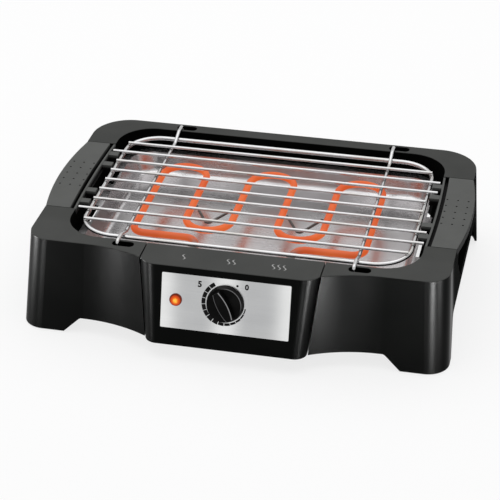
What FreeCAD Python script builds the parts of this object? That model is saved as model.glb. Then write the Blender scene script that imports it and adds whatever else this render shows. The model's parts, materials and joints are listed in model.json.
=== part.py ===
import FreeCAD, Part
import math
import os

V = FreeCAD.Vector

# Table-top electric grill. Millimetres, x to the right, y to the back, z up from the table.
# The pieces are drawn round the middle of the handles and moved back by RING_Y, so that
# the origin lies under the middle of the whole grill.
RING_Y = 24.7

# Opening of the ring, its apron wall and the ledge that carries the tray; a DOWN is counted from the rim
OPEN_X = 197.0
OPEN_DEPTH = 135.5
OPEN_MID = -3.0
OPEN_R = 42.0
APRON_DOWN = 37.0
LEDGE_DOWN = 26.0
LEDGE_T = 3.0
LEDGE_W = 8.0
SADDLE_DOWN = 8.0
GATE_DOWN = 25.0

# Base shell: widths of the rim round the opening; a flare is a wall's lean down to the table
RIM_Z = 105.0
SKIRT_Z = 18.5
SOLE_Z = 1.5
WALL = 2.5
DECK = 3.0
RIM_SIDE = 35.0
RIM_FRONT = 17.0
RIM_BACK = 17.5
RIM_EDGE = 1.0
SIDE_FLARE = 6.0
FRONT_FLARE = 19.5
BACK_FLARE = 8.0
FRONT_R = 25.0
REAR_R = 45.0

# Notch in the front wall that takes the control box, and the wings that sweep out to it
NOTCH_X = 99.0
NOTCH_TAPER = 11.0
NOTCH_OUT = 13.5
WING_RUN = 66.0
PANEL_LEAN = 14.0
PART_GAP = 1.0
GATE_IN = 27.0

# Feet: places are counted inwards from the walls
FOOT_IN = 43.0
FOOT_CHAMFER = 20.0
SKIRT_R = 5.0
FOOT_FRONT_IN = 17.5
FOOT_REAR_IN = 27.0
SIDE_ARCH_DOWN = 59.0
SIDE_RUN_FRONT = 20.0
SIDE_RUN_REAR = 31.0
ARCH_R = 10.0
WEB_Z = 7.0
WEB_T = 2.5
PAD_IN = 20.0
PAD_FRONT_IN = 6.0
PAD_REAR_IN = 14.0
PAD_R = 10.0
PAD_STEM_R = 3.0
PAD_HEAD_R = 4.2
PAD_HEAD_T = 2.0

# Handles and the guides inside them
HANDLE_HALF = 81.2
HANDLE_BULGE = 8.0
HANDLE_BOW = 2.0
HANDLE_T = 8.0
HANDLE_TOP = 3.0
HANDLE_WALL = 2.5
HANDLE_EDGE = 1.5
DOT_R = 1.2
DOT_DEEP = 0.8
DOT_IN = 16.3
DOT_STEP_X = 12.0
DOT_STEP_Y = 14.0
DOT_COLUMNS = 3
DOT_ROWS = 5
GUIDE_W = 6.7
GUIDE_DROP = 0.6
GUIDE_FLOOR = 2.0
LIP_W = 2.2
RIB_REACH = 10.0
RIB_NEAR = 33.0
RIB_FAR = 59.0
RIB_W = 9.0
RIB_T = 9.0
RIB_DROP = 1.0

# Hand-holds under the handles, each with a closed pocket for the fingers
GRIP_FRONT = -52.0
GRIP_REAR = 74.0
GRIP_IN = 1.2
GRIP_LOW_DOWN = 49.0
GRIP_HIGH_DOWN = 13.5
GRIP_R = 7.0
CUP_DEEP = 18.0

# Screws
SCREW_R = 1.6
SCREW_HEAD_R = 3.2
SCREW_HEAD_T = 2.0
SCREW_FIT = 0.1
HANDLE_SCREW_IN = 5.8
HANDLE_SCREW_Y = 48.0
BOSS_R = 4.5

# Drip tray, a pressed pan with a flange
TRAY_GAP = 5.0
TRAY_T = 1.0
FLANGE_W = 8.0
TRAY_DRAFT = 8.0
TRAY_DEEP = 25.0
TRAY_R = 8.0
RIB_CLEAR = 1.5

# Clearances between pieces
SEAT = 0.3
FIT = 0.2
RUN_FIT = 0.05

# Grid of welded wires; the steps name the bars that reach on, counted from the middle one
FRAME_GAP_X = 13.5
FRAME_GAP_Y = 14.5
FRAME_R = 40.0
FRAME_DOWN = 5.0
FRAME_WIRE = 2.5
BAR_WIRE = 1.75
BAR_COUNT = 9
BAR_FRONT = 25.0
BAR_BACK = 28.2
BAR_OVER = 1.0
BAR_GAP = 2.0
LONG_RIGHT = (2, 3)
LONG_LEFT = (3,)
CROSS_WIRE = 2.0
CROSS_IN = 53.5
JOGGLE_RUN = 20.0
JOGGLE_R = 8.0
HOOK_R = 3.5
HOOK_DROP = 11.0
WELD = 0.1
SLOT_R = 5.5
SLOT_LONG = 24.5
SLOT_SIDE = 6.5

# Heating element: one tube of six legs, its turns counted inwards from the opening
TUBE_R = 4.0
TUBE_DOWN = 18.0
LEG_COUNT = 6
LEG_IN = 66.0
LEG_BACK_IN = 55.5
LEG_FRONT_IN = 70.5
RUN_IN = 50.5
RUN_R = 14.0
ENTRY_IN = 44.0
TUBE_END = 7.0
PIN_R = 1.6
PIN_LONG = 12.0
BEAD_R = 3.2
BEAD_T = 3.0
COLLAR_R = 8.0
COLLAR_T = 3.0
SUPPORT_R = 1.5
SUPPORT_IN = 13.0
SUPPORT_LONG = 38.0

# Control box
BOX_OUT = 25.0
BOX_ROUND = 20.0
BOX_TAPER = 4.5
BOX_BACK_GAP = 1.0
COVER_RISE = 0.5
COVER_T = 2.5
PLATE_T = 1.0
LUG_REACH = 25.0
LUG_W = 10.0
LUG_TALL = 18.5
LUG_FRONT_IN = 2.5
LUG_BACK_IN = 10.0
BUSH_IN = 49.0
BUSH_BACK_IN = 26.0
BUSH_R = 8.0
BUSH_FLANGE_R = 10.5
BUSH_T = 3.0
BUSH_BORE = 3.8
BLOCK_X = 20.0
BLOCK_BACK_IN = 6.0
BLOCK_DEEP = 12.0
BLOCK_TALL = 14.0
POLE_IN = 6.0
LEAD_R = 1.3
LEAD_BEND = 4.0

# Panel: places are measured on the leaning front, from the knob's middle
KNOB_DOWN = 34.6
PANEL_DROP = 3.0
PANEL_SIDE = 8.8
PANEL_H = 61.5
PANEL_T = 1.2
PANEL_R = 1.2
PANEL_SINK = 0.6
LAMP_IN = 16.0
LAMP_DROP = 1.5
LENS_R = 5.0
LENS_FLANGE_R = 6.8
LENS_T = 1.2
LENS_DOME = 1.6
LENS_LONG = 6.0
LAMP_R = 4.0
LAMP_LONG = 18.0
THERMO_W = 34.0
THERMO_DEEP = 22.0
TAB_LONG = 8.0
TAB_W = 6.3
TAB_T = 0.8
NECK_R = 5.0
NECK_LONG = 2.0
SHAFT_R = 3.0
SHAFT_OUT = 9.5
SHAFT_IN = 14.0
THERMO_SCREW_X = 12.5
THERMO_SCREW_R = 1.9
THERMO_SCREW_IN = 4.0
KNOB_R = 20.5
KNOB_TOP_R = 19.0
KNOB_SKIRT = 6.0
KNOB_TALL = 14.0
KNOB_GAP = 0.8
KNOB_WALL = 2.5
GRIP_MID = 7.5
GRIP_END = 3.6
GRIP_DRAFT = 1.6
GRIP_INSET = 1.0
HUB_R = 6.5
KNOB_EDGE = 0.8
KNOB_TURN = 30.0

# Sizes that follow from the ones above
SLOPE = math.tan(math.radians(PANEL_LEAN))
SKIN = WALL * math.cos(math.radians(PANEL_LEAN))
OPEN_FRONT = OPEN_MID - OPEN_DEPTH
OPEN_BACK = OPEN_MID + OPEN_DEPTH
APRON_Z = RIM_Z - APRON_DOWN
LEDGE_Z = RIM_Z - LEDGE_DOWN
SADDLE_Z = RIM_Z - SADDLE_DOWN
GATE_Z = RIM_Z - GATE_DOWN
SIDE_X = OPEN_X + RIM_SIDE
FRONT_Y = RIM_FRONT - OPEN_FRONT
BACK_Y = OPEN_BACK + RIM_BACK
NOTCH_Y = FRONT_Y + NOTCH_OUT
WING_X = NOTCH_X + WING_RUN
GATE_X = NOTCH_X - GATE_IN
FOOT_X = SIDE_X - FOOT_IN
FOOT_FRONT = FOOT_FRONT_IN - FRONT_Y
FOOT_REAR = BACK_Y - FOOT_REAR_IN
SIDE_ARCH_Z = RIM_Z - SIDE_ARCH_DOWN
PAD_X = SIDE_X - PAD_IN
PAD_FRONT = PAD_FRONT_IN - FRONT_Y
PAD_REAR = BACK_Y - PAD_REAR_IN
HANDLE_IN = OPEN_X + GUIDE_W
HANDLE_SCREW_X = HANDLE_IN + HANDLE_SCREW_IN
DOT_X = HANDLE_IN + DOT_IN
RIB_TIP = OPEN_X - RIB_REACH
GRIP_HALF = HANDLE_HALF - GRIP_IN
GRIP_LOW = RIM_Z - GRIP_LOW_DOWN
GRIP_HIGH = RIM_Z - GRIP_HIGH_DOWN
CUP_X = SIDE_X - CUP_DEEP
POCKET_Z = RIM_Z - HANDLE_T
FLANGE_Z = LEDGE_Z + SEAT + TRAY_T
FLOOR_Z = FLANGE_Z - TRAY_DEEP
FRAME_X = OPEN_X - FRAME_GAP_X
FRAME_DEPTH = OPEN_DEPTH - FRAME_GAP_Y
FRAME_Z = RIM_Z - FRAME_DOWN
BAR_PITCH = (2.0 * FRAME_DEPTH - BAR_FRONT - BAR_BACK) / (BAR_COUNT - 1)
BAR_TIP = OPEN_X - BAR_GAP
BAR_DROP = FRAME_WIRE + BAR_WIRE - WELD
CROSS_X = FRAME_X - CROSS_IN
HOOK_Z = RIM_Z + SEAT + CROSS_WIRE
SLOT_OUT = WALL + SEAT + SLOT_R
LEG_STEP = 2.0 * (OPEN_X - LEG_IN) / (LEG_COUNT - 1)
LEG_BACK = OPEN_BACK - LEG_BACK_IN
LEG_FRONT = OPEN_FRONT + LEG_FRONT_IN
TUBE_Z = RIM_Z - TUBE_DOWN
SUPPORT_TIP = LEG_FRONT + SUPPORT_IN
RUN_Y = OPEN_FRONT + RUN_IN
ENTRY_X = NOTCH_X - ENTRY_IN
BOX_FRONT = FRONT_Y + BOX_OUT
BOX_X = NOTCH_X - BOX_ROUND
BOX_BACK = OPEN_FRONT - WALL - BOX_BACK_GAP
COVER_TOP = SKIRT_Z + COVER_RISE + COVER_T
LUG_Z = COVER_TOP + LUG_TALL
LUG_IN = NOTCH_X - LUG_REACH
LUG_FRONT = LUG_FRONT_IN - BOX_FRONT
LUG_BACK = BOX_BACK - LUG_BACK_IN
BUSH_X = NOTCH_X - BUSH_IN
BUSH_Y = BOX_BACK - BUSH_BACK_IN
BLOCK_Y = BOX_BACK - BLOCK_BACK_IN - BLOCK_DEEP
PANEL_W = 2.0 * (BOX_X - PANEL_SIDE)
LAMP_X = LAMP_IN - PANEL_W / 2.0
PLATE_FACE = PANEL_T - PANEL_SINK
FAR = 400.0


def at(top, flare, z):
    """A size at height z, growing from top at the rim by flare down to the table."""
    return top + flare * (1.0 - z / RIM_Z)


def line(a, b):
    return Part.LineSegment(V(*a), V(*b)).toShape()


def turn(x, y, r, start, end, z):
    """Arc round (x, y) between two angles in degrees."""
    angles = [math.radians(start + k * (end - start) / 2.0) for k in range(3)]
    return Part.Arc(*[V(x + r * math.cos(a), y + r * math.sin(a), z) for a in angles]).toShape()


def polygon(points):
    corners = [V(*p) for p in points]
    return Part.Wire(Part.makePolygon(corners + corners[:1]))


def loft(low, high):
    return Part.makeLoft([low, high], True, True)


def prism(wire, push):
    return Part.Face(wire).extrude(V(*push))


def block(x0, x1, y0, y1, z0, z1):
    return Part.makeBox(x1 - x0, y1 - y0, z1 - z0, V(x0, y0, z0))


def rod(r, start, end):
    a = V(*start)
    b = V(*end)
    return Part.makeCylinder(r, (b - a).Length, a, b - a)


def round_rect(x, y, half_x, half_y, r, z):
    """Rectangle round (x, y) with rounded corners, starting mid-front."""
    right, left, back, front = x + half_x, x - half_x, y + half_y, y - half_y
    return Part.Wire([
        line((x, front, z), (right - r, front, z)),
        turn(right - r, front + r, r, -90, 0, z),
        line((right, front + r, z), (right, back - r, z)),
        turn(right - r, back - r, r, 0, 90, z),
        line((right - r, back, z), (left + r, back, z)),
        turn(left + r, back - r, r, 90, 180, z),
        line((left, back - r, z), (left, front + r, z)),
        turn(left + r, front + r, r, 180, 270, z),
        line((left + r, front, z), (x, front, z)),
    ])


def bent_path(points, radii):
    """Straight runs between points, each corner rounded by a tangent arc."""
    corners = [V(*p) for p in points]
    edges = []
    here = corners[0]
    for k in range(1, len(corners) - 1):
        back = (corners[k - 1] - corners[k]).normalize()
        ahead = (corners[k + 1] - corners[k]).normalize()
        half = back.getAngle(ahead) / 2.0
        reach = radii[k - 1] / math.tan(half)
        first = corners[k] + back * reach
        last = corners[k] + ahead * reach
        middle = (back + ahead).normalize()
        crown = corners[k] + middle * (radii[k - 1] / math.sin(half) - radii[k - 1])
        if (first - here).Length > 1e-6:
            edges.append(Part.LineSegment(here, first).toShape())
        edges.append(Part.Arc(first, crown, last).toShape())
        here = last
    edges.append(Part.LineSegment(here, corners[-1]).toShape())
    return Part.Wire(edges)


def tube(path, r):
    """Round bar of radius r along a path of lines and tangent arcs."""
    first = path.OrderedEdges[0]
    start = path.OrderedVertexes[0].Point
    along = first.tangentAt(first.FirstParameter)
    ring = Part.Wire([Part.makeCircle(r, start, along)])
    return path.makePipeShell([ring], True, False)


def bent_rod(points, bend, r):
    return tube(bent_path(points, [bend] * (len(points) - 2)), r)


def mirror(shape):
    return shape.mirror(V(0, 0, 0), V(1, 0, 0))


def on_panel(shape):
    """Move a shape from the panel's own frame, z out of the panel, to its place."""
    middle = V(0, -at(BOX_FRONT, SLOPE * RIM_Z, RIM_Z - KNOB_DOWN), RIM_Z - KNOB_DOWN)
    lean = FreeCAD.Rotation(V(1, 0, 0), 90.0 - PANEL_LEAN)
    placed = shape.copy()
    placed.Placement = FreeCAD.Placement(middle, lean).multiply(placed.Placement)
    return placed


def base_outline(z, inset):
    """Outer wall at height z: wings that sweep forward to the notch, rounded corners."""
    front = inset - at(FRONT_Y, FRONT_FLARE, z)
    side = at(SIDE_X, SIDE_FLARE, z) - inset
    back = at(BACK_Y, BACK_FLARE, z) - inset
    notch = at(NOTCH_X, -NOTCH_TAPER, z) + inset
    tip = inset - at(NOTCH_Y, SLOPE * RIM_Z, z)
    near = FRONT_R - inset
    rear = REAR_R - inset
    run = WING_X - notch
    rise = front - tip
    sweep = (run * run + rise * rise) / (2.0 * rise)
    swing = math.degrees(math.asin(run / sweep))
    return Part.Wire([
        turn(WING_X, front - sweep, sweep, 90 + swing, 90, z),
        line((WING_X, front, z), (side - near, front, z)),
        turn(side - near, front + near, near, -90, 0, z),
        line((side, front + near, z), (side, back - rear, z)),
        turn(side - rear, back - rear, rear, 0, 90, z),
        line((side - rear, back, z), (rear - side, back, z)),
        turn(rear - side, back - rear, rear, 90, 180, z),
        line((-side, back - rear, z), (-side, front + near, z)),
        turn(near - side, front + near, near, 180, 270, z),
        line((near - side, front, z), (-WING_X, front, z)),
        turn(-WING_X, front - sweep, sweep, 90, 90 - swing, z),
        line((-notch, tip, z), (notch, tip, z)),
    ])


def soft_rim(solid, limit):
    """Round the outer edges of the rim that reach further forward than limit."""
    top = [e for e in solid.Edges if e.BoundBox.ZMin > RIM_Z - SEAT and e.BoundBox.YMin < limit - SEAT]
    return solid.makeFillet(RIM_EDGE, top)


def opening(grow, z0, z1):
    """Prism of the ring's opening, grown outwards by grow."""
    plan = round_rect(0, OPEN_MID, OPEN_X + grow, OPEN_DEPTH + grow, OPEN_R + grow, z0)
    return prism(plan, (0, 0, z1 - z0))


def notch_slab(inner, outer, y1):
    """Slab that leans with the notch's side, from inner to outer of its edge."""
    def level(z):
        edge = at(NOTCH_X, -NOTCH_TAPER, z)
        return polygon([(edge + inner, -FAR, z), (edge + outer, -FAR, z),
                        (edge + outer, y1, z), (edge + inner, y1, z)])
    return loft(level(0), level(RIM_Z))


def notch_void():
    """Space of the control box between the wings, in front of the apron."""
    def level(z):
        edge = at(NOTCH_X, -NOTCH_TAPER, z)
        return polygon([(-edge, -FAR, z), (edge, -FAR, z),
                        (edge, OPEN_FRONT - WALL, z), (-edge, OPEN_FRONT - WALL, z)])
    walls = loft(level(-RIM_Z), level(2.0 * RIM_Z))
    saddle = block(-NOTCH_X, NOTCH_X, -FAR, OPEN_FRONT + WALL, SADDLE_Z, FAR)
    gate = block(-GATE_X, GATE_X, -FAR, OPEN_FRONT + WALL, GATE_Z, FAR)
    return [walls, saddle, gate]


def slots():
    """Four rounded slots in the rim, each running to the right of its wire."""
    cuts = []
    for wire_x in (-CROSS_X, CROSS_X):
        for row in (-1, 1):
            y = OPEN_MID + row * (OPEN_DEPTH + SLOT_OUT)
            plan = round_rect(wire_x + SLOT_SIDE, y, SLOT_LONG / 2.0, SLOT_R,
                              SLOT_R - SEAT, RIM_Z - 2.0 * DECK)
            cuts.append(prism(plan, (0, 0, FAR)))
    return cuts


def rounded_prism(points, push, r):
    """Prism of a polygon, with its long edges rounded where they meet."""
    solid = prism(polygon(points), push)
    along = V(*push).normalize()
    ends = V(*push).Length
    same = [e for e in solid.Edges if abs(e.Length - ends) < SEAT]
    return solid.makeFillet(r, [e for e in same if e.tangentAt(0).cross(along).Length < SEAT])


def arches():
    """Space under the raised wall edges between the feet, front to back and side to side."""
    low = -2.0 * ARCH_R
    wide = FOOT_X - FOOT_CHAMFER * low / SKIRT_Z
    narrow = FOOT_X - FOOT_CHAMFER
    across = [(-wide, -FAR, low), (wide, -FAR, low), (narrow, -FAR, SKIRT_Z), (-narrow, -FAR, SKIRT_Z)]
    front = FOOT_FRONT + SIDE_RUN_FRONT * low / SIDE_ARCH_Z
    rear = FOOT_REAR - SIDE_RUN_REAR * low / SIDE_ARCH_Z
    along = [(-FAR, front, low), (-FAR, rear, low),
             (-FAR, FOOT_REAR - SIDE_RUN_REAR, SIDE_ARCH_Z),
             (-FAR, FOOT_FRONT + SIDE_RUN_FRONT, SIDE_ARCH_Z)]
    return [rounded_prism(across, (0, 2.0 * FAR, 0), SKIRT_R),
            rounded_prism(along, (2.0 * FAR, 0, 0), ARCH_R)]


def hand_hold():
    """Opening in the right wall for the fingers, under the handle, wider at the top."""
    x = CUP_X + WALL
    sides = [(x, GRIP_FRONT, GRIP_LOW), (x, GRIP_REAR, GRIP_LOW),
             (x, GRIP_HALF, GRIP_HIGH), (x, -GRIP_HALF, GRIP_HIGH)]
    return rounded_prism(sides, (FAR, 0, 0), GRIP_R)


def finger_cup():
    """Walls of the pocket behind the right hand-hold: inner side, floor and two ends."""
    end = GRIP_HALF + WALL
    whole = block(CUP_X, FAR, -end, end, GRIP_LOW - WALL, POCKET_Z - DECK / 2.0)
    return whole.cut(block(CUP_X + WALL, FAR, -GRIP_HALF, GRIP_HALF, GRIP_LOW, FAR))


def pad_places():
    return {"front_left": (-PAD_X, PAD_FRONT), "front_right": (PAD_X, PAD_FRONT),
            "rear_left": (-PAD_X, PAD_REAR), "rear_right": (PAD_X, PAD_REAR)}


def handle_screw_places():
    return [(side * HANDLE_SCREW_X, end * HANDLE_SCREW_Y) for side in (-1, 1) for end in (-1, 1)]


def base_shell():
    outer = soft_rim(loft(base_outline(SOLE_Z, 0), base_outline(RIM_Z, 0)), FAR)
    inner = loft(base_outline(0, WALL), base_outline(RIM_Z - DECK, WALL))
    core = loft(base_outline(0, WALL / 2.0), base_outline(RIM_Z - DECK / 2.0, WALL / 2.0))
    shell = outer.cut([inner, opening(0, 0, FAR)])

    apron = opening(WALL, APRON_Z, RIM_Z - DECK / 2.0).cut(opening(0, 0, FAR))
    ledge = opening(WALL / 2.0, LEDGE_Z - LEDGE_T, LEDGE_Z).cut(opening(-LEDGE_W, 0, FAR))
    added = [apron, ledge]
    end_wall = core.common(notch_slab(0, WALL, OPEN_FRONT - WALL / 2.0))
    pocket_end = HANDLE_HALF + PART_GAP + WALL
    tray_side = block(OPEN_X, FAR, -pocket_end, pocket_end, POCKET_Z - DECK, FAR)
    added += [end_wall.common(block(0, FAR, -FAR, FAR, SKIRT_Z, FAR))]
    added += [core.common(tray_side), core.common(finger_cup())]
    for y0, y1 in ((-FAR, FOOT_FRONT), (FOOT_REAR, FAR)):
        added.append(core.common(block(FOOT_X, FAR, y0, y1, WEB_Z, WEB_Z + WEB_T)))
    added += [mirror(piece) for piece in added[2:]]
    shell = shell.fuse(added)

    half = HANDLE_HALF + PART_GAP
    cuts = notch_void() + slots() + arches()
    for side in (block(OPEN_X - LEDGE_W, FAR, -half, half, POCKET_Z, FAR), hand_hold()):
        cuts += [side, mirror(side)]
    for x, y in handle_screw_places():
        cuts.append(rod(SCREW_R + SCREW_FIT, (x, y, GRIP_HIGH), (x, y, RIM_Z)))
    for x, y in pad_places().values():
        cuts.append(rod(PAD_STEM_R + RUN_FIT, (x, y, 0), (x, y, WEB_Z + 2.0 * WEB_T)))
    return shell.cut(cuts).removeSplitter()


def foot_pad(x, y):
    """Rubber foot pushed through the web of its corner, with a head above it."""
    sole = rod(PAD_R, (x, y, 0), (x, y, WEB_Z))
    stem = rod(PAD_STEM_R, (x, y, WEB_Z), (x, y, WEB_Z + WEB_T))
    head_z = WEB_Z + WEB_T
    head = Part.makeCone(PAD_HEAD_R, PAD_STEM_R, PAD_HEAD_T, V(x, y, head_z))
    return sole.fuse([stem, head]).removeSplitter()


def strip_plan(inner, inner_bow, outer, outer_bow, end, z):
    """Strip along y seen from above, each long side bowed outwards by its own amount."""
    def side(x, bow):
        if bow == 0:
            return line((x, -end, z), (x, end, z))
        return Part.Arc(V(x, -end, z), V(x + bow, 0, z), V(x, end, z)).toShape()
    return Part.Wire([
        line((inner, -end, z), (outer, -end, z)),
        side(outer, outer_bow),
        line((outer, end, z), (inner, end, z)),
        side(inner, inner_bow),
    ])


def handle_plan(inset, z):
    return strip_plan(HANDLE_IN + inset, HANDLE_BOW, SIDE_X - inset, HANDLE_BULGE,
                      HANDLE_HALF - inset, z)


def handle():
    body = prism(handle_plan(0, POCKET_Z), (0, 0, HANDLE_T))
    top = [e for e in body.Edges if e.BoundBox.ZMin > RIM_Z - SEAT]
    body = body.makeFillet(HANDLE_EDGE, [e for e in top if e.BoundBox.XMax > SIDE_X + SEAT])
    hollow = HANDLE_T + DECK - HANDLE_TOP
    body = body.cut(prism(handle_plan(HANDLE_WALL, POCKET_Z - DECK), (0, 0, hollow)))
    cuts = []
    for end in (-1, 1):
        x, y = HANDLE_SCREW_X, end * HANDLE_SCREW_Y
        body = body.fuse(rod(BOSS_R, (x, y, POCKET_Z), (x, y, RIM_Z - HANDLE_TOP / 2.0)))
        cuts.append(rod(SCREW_R + RUN_FIT, (x, y, 0), (x, y, RIM_Z - HANDLE_TOP)))
    for column in range(DOT_COLUMNS):
        for row in range(DOT_ROWS):
            x = DOT_X + DOT_STEP_X * (column - (DOT_COLUMNS - 1) / 2.0)
            y = DOT_STEP_Y * (row - (DOT_ROWS - 1) / 2.0)
            cuts.append(rod(DOT_R, (x, y, RIM_Z - DOT_DEEP), (x, y, FAR)))
    return body.cut(cuts).removeSplitter()


def side_guide():
    """Strip inside the handle: a groove with a lip, and two pairs of ribs beside the grid."""
    edge = HANDLE_IN - PART_GAP
    floor = strip_plan(OPEN_X, 0, edge, HANDLE_BOW, HANDLE_HALF, POCKET_Z)
    lip = strip_plan(OPEN_X, HANDLE_BOW, OPEN_X + LIP_W, HANDLE_BOW, HANDLE_HALF, POCKET_Z)
    strip = prism(floor, (0, 0, GUIDE_FLOOR)).fuse(prism(lip, (0, 0, HANDLE_T - GUIDE_DROP)))
    over = block(OPEN_X, OPEN_X + WALL, -FAR, FAR, 0, POCKET_Z)
    top = RIM_Z - RIB_DROP
    for y in (-RIB_FAR, -RIB_NEAR, RIB_NEAR, RIB_FAR):
        rib = block(RIB_TIP, OPEN_X + WALL, y - RIB_W / 2.0, y + RIB_W / 2.0, top - RIB_T, top)
        strip = strip.fuse(rib.cut(over))
    return strip.removeSplitter()


def screw(x, y, head_z, length):
    """Screw driven upwards, its head below head_z."""
    head = rod(SCREW_HEAD_R, (x, y, head_z - SCREW_HEAD_T), (x, y, head_z))
    return head.fuse(rod(SCREW_R, (x, y, head_z), (x, y, head_z + length))).removeSplitter()


def handle_screws():
    under = POCKET_Z - DECK
    length = RIM_Z - HANDLE_TOP - under - FIT
    return Part.makeCompound([screw(x, y, under, length) for x, y in handle_screw_places()])


def tray_plan(inset, z):
    shrink = TRAY_GAP + inset
    return round_rect(0, OPEN_MID, OPEN_X - shrink, OPEN_DEPTH - shrink, OPEN_R - shrink, z)


def pan(grow, top, floor, r):
    """Tapered pan with rounded lower edges, grow inside the outer pan's walls."""
    body = loft(tray_plan(FLANGE_W + TRAY_DRAFT + grow, floor), tray_plan(FLANGE_W + grow, top))
    lower = [e for e in body.Edges if e.BoundBox.ZMax < floor + SEAT]
    return body.makeFillet(r, lower)


def drip_tray():
    flange = prism(tray_plan(0, FLANGE_Z - TRAY_T), (0, 0, TRAY_T))
    body = flange.fuse(pan(0, FLANGE_Z, FLOOR_Z, TRAY_R))
    body = body.cut(pan(TRAY_T, FLANGE_Z, FLOOR_Z + TRAY_T, TRAY_R - TRAY_T))
    near = RIB_NEAR - RIB_W / 2.0 - RIB_CLEAR
    far = RIB_FAR + RIB_W / 2.0 + RIB_CLEAR
    cuts = []
    for y0, y1 in ((-far, -near), (near, far)):
        relief = block(RIB_TIP - RIB_CLEAR, FAR, y0, y1, FLOOR_Z, FAR)
        cuts += [relief, mirror(relief)]
    return body.cut(cuts).removeSplitter()


def grid_frame():
    path = round_rect(0, OPEN_MID, FRAME_X, FRAME_DEPTH, FRAME_R, FRAME_Z)
    return tube(path, FRAME_WIRE)


def grid_bar(index):
    """One bar across the frame, ending on its side rails or reaching on towards the walls."""
    y = OPEN_MID - FRAME_DEPTH + BAR_FRONT + index * BAR_PITCH
    z = FRAME_Z + BAR_DROP
    round_in = max(0.0, abs(y - OPEN_MID) - FRAME_DEPTH + FRAME_R)
    short = FRAME_X + BAR_OVER - FRAME_R + math.sqrt(FRAME_R ** 2 - round_in ** 2)
    step = abs(index - BAR_COUNT // 2)
    right = BAR_TIP if step in LONG_RIGHT else short
    left = BAR_TIP if step in LONG_LEFT else short
    return rod(BAR_WIRE, (-left, y, z), (right, y, z))


def cross_wire(x):
    """Wire under the bars that rises over both rails and hooks into the rim's slots."""
    low = FRAME_Z + BAR_DROP - BAR_WIRE - CROSS_WIRE + WELD
    rise = HOOK_Z - low
    tilt = math.atan2(rise, JOGGLE_RUN)
    over = (FRAME_WIRE + CROSS_WIRE - WELD) / math.cos(tilt) + FRAME_Z - low
    knee = FRAME_DEPTH - over / math.tan(tilt)
    tip = OPEN_DEPTH + SLOT_OUT
    half = [(knee, low), (knee + JOGGLE_RUN, HOOK_Z), (tip, HOOK_Z), (tip, HOOK_Z - HOOK_DROP)]
    back = [(x, OPEN_MID + y, z) for y, z in half]
    front = [(x, OPEN_MID - y, z) for y, z in reversed(half)]
    radii = [HOOK_R, JOGGLE_R, JOGGLE_R, JOGGLE_R, JOGGLE_R, HOOK_R]
    return tube(bent_path(front + back, radii), CROSS_WIRE)


def leg_x(index):
    return (index - (LEG_COUNT - 1) / 2.0) * LEG_STEP


def heating_element():
    """Tube from the control box along the front, through six legs and back."""
    bend = LEG_STEP / 2.0
    points = [(-ENTRY_X, BOX_BACK - TUBE_END), (-ENTRY_X, RUN_Y), (leg_x(0), RUN_Y)]
    radii = [RUN_R, RUN_R]
    for k in range(LEG_COUNT - 1):
        turn_y = LEG_BACK if k % 2 == 0 else LEG_FRONT
        points += [(leg_x(k), turn_y), (leg_x(k + 1), turn_y)]
        radii += [bend, bend]
    points += [(leg_x(LEG_COUNT - 1), RUN_Y), (ENTRY_X, RUN_Y), (ENTRY_X, BOX_BACK - TUBE_END)]
    radii += [RUN_R, RUN_R]
    return tube(bent_path([(x, y, TUBE_Z) for x, y in points], radii), TUBE_R)


def element_pins():
    """Ceramic bead and steel pin at each end of the tube."""
    pins = []
    start = BOX_BACK - TUBE_END
    for x in (-ENTRY_X, ENTRY_X):
        bead = rod(BEAD_R, (x, start, TUBE_Z), (x, start - BEAD_T, TUBE_Z))
        pin = rod(PIN_R, (x, start, TUBE_Z), (x, start - PIN_LONG, TUBE_Z))
        pins.append(bead.fuse(pin).removeSplitter())
    return Part.makeCompound(pins)


def element_collars():
    """Steel rings that hold the tube's ends against the inside of the rear plate."""
    rings = []
    face = BOX_BACK - PLATE_T - FIT
    for x in (-ENTRY_X, ENTRY_X):
        ring = rod(COLLAR_R, (x, face, TUBE_Z), (x, face - COLLAR_T, TUBE_Z))
        rings.append(ring.cut(rod(TUBE_R + RUN_FIT, (x, face + COLLAR_T, TUBE_Z), (x, -FAR, TUBE_Z))))
    return Part.makeCompound(rings)


def element_support(first):
    """Bent wire between two legs, its tip towards the front turn."""
    reach = TUBE_R + FIT + SUPPORT_R
    left = leg_x(first) + reach
    right = leg_x(first + 1) - reach
    middle = (left + right) / 2.0
    back = SUPPORT_TIP + SUPPORT_LONG
    plan = [(left, back), (middle, SUPPORT_TIP), (right, back)]
    return bent_rod([(x, y, TUBE_Z) for x, y in plan], LEAD_BEND, SUPPORT_R)


def box_outline(z, inset, back):
    """Control box at height z: straight sides at the notch, rounded front corners."""
    side = at(NOTCH_X, -NOTCH_TAPER, z) - PART_GAP - inset
    tip = inset - at(NOTCH_Y, SLOPE * RIM_Z, z)
    front = inset - at(BOX_FRONT, SLOPE * RIM_Z, z)
    corner = at(BOX_X, -BOX_TAPER, z) - inset
    run = side - corner
    rise = tip - front
    r = (run * run + rise * rise) / (2.0 * rise)
    swing = math.degrees(math.asin(run / r))
    return Part.Wire([
        line((-side, back, z), (-side, tip, z)),
        turn(-corner, front + r, r, 270 - swing, 270, z),
        line((-corner, front, z), (corner, front, z)),
        turn(corner, front + r, r, 270, 270 + swing, z),
        line((side, tip, z), (side, back, z)),
        line((side, back, z), (-side, back, z)),
    ])


def lug_places():
    return [(side, y) for side in (-1, 1) for y in (LUG_FRONT, LUG_BACK)]


def lug_x():
    """Middle of a screw lug on the side wall of the control box."""
    return LUG_IN + LUG_W / 2.0


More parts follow.
